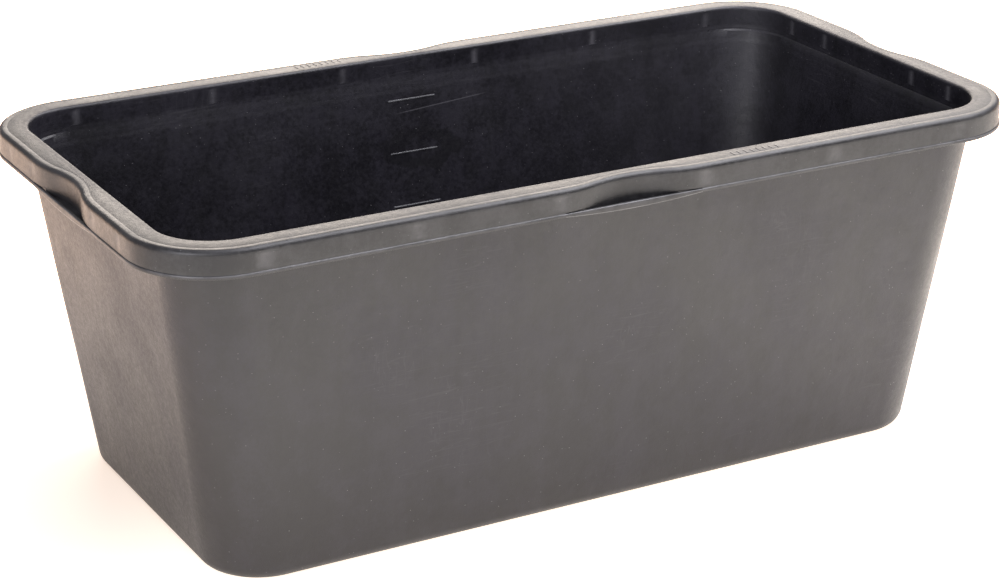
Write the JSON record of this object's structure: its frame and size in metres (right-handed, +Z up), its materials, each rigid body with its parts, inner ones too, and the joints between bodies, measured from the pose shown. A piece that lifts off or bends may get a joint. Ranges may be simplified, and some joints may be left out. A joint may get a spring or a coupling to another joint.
{
  "type": "mortar mixing tub",
  "caption": "Deep rectangular mixing tub with tapered walls, rounded corners, a turned-down rim and a finger grip with a bar in the middle of each side.",
  "frame": {"origin": "centre of the underside, on the surface that the tub stands on", "axes": "+X along the tub's length, +Y to the side with the graduation lines inside, +Z up out of the mouth"},
  "size_m": [0.862, 0.45, 0.327],
  "materials": {
    "wall_plastic": "satin moulded black-grey polyethylene, slightly mottled",
    "rim_plastic": "satin moulded black-grey polyethylene, rubbed a little smoother on the rim"
  },
  "bodies": {
    "root": {"floor_panel": "wall_plastic", "front_wall": "wall_plastic", "back_wall": "wall_plastic", "left_wall": "wall_plastic", "right_wall": "wall_plastic", "wall_corner_front_left": "wall_plastic", "wall_corner_front_right": "wall_plastic", "wall_corner_back_left": "wall_plastic", "wall_corner_back_right": "wall_plastic", "front_flange_left": "rim_plastic", "front_flange_right": "rim_plastic", "back_flange_right": "rim_plastic", "back_flange_left": "rim_plastic", "left_flange_back": "rim_plastic", "left_flange_front": "rim_plastic", "right_flange_front": "rim_plastic", "right_flange_back": "rim_plastic", "front_grip_flange": "rim_plastic", "back_grip_flange": "rim_plastic", "left_grip_flange": "rim_plastic", "right_grip_flange": "rim_plastic", "flange_corner_front_left": "rim_plastic", "flange_corner_front_right": "rim_plastic", "flange_corner_back_left": "rim_plastic", "flange_corner_back_right": "rim_plastic", "front_skirt_left": "rim_plastic", "front_skirt_right": "rim_plastic", "back_skirt_right": "rim_plastic", "back_skirt_left": "rim_plastic", "left_skirt_back": "rim_plastic", "left_skirt_front": "rim_plastic", "right_skirt_front": "rim_plastic", "right_skirt_back": "rim_plastic", "skirt_corner_front_left": "rim_plastic", "skirt_corner_front_right": "rim_plastic", "skirt_corner_back_left": "rim_plastic", "skirt_corner_back_right": "rim_plastic", "front_grip_skirt": "rim_plastic", "back_grip_skirt": "rim_plastic", "left_grip_skirt": "rim_plastic", "right_grip_skirt": "rim_plastic", "front_grip_bar": "rim_plastic", "back_grip_bar": "rim_plastic", "left_grip_bar": "rim_plastic", "right_grip_bar": "rim_plastic", "front_rim_ribs": "rim_plastic", "back_rim_ribs": "rim_plastic", "left_rim_ribs": "rim_plastic", "right_rim_ribs": "rim_plastic", "level_marks": "wall_plastic", "rim_ticks": "rim_plastic"}
  },
  "joints": []
}
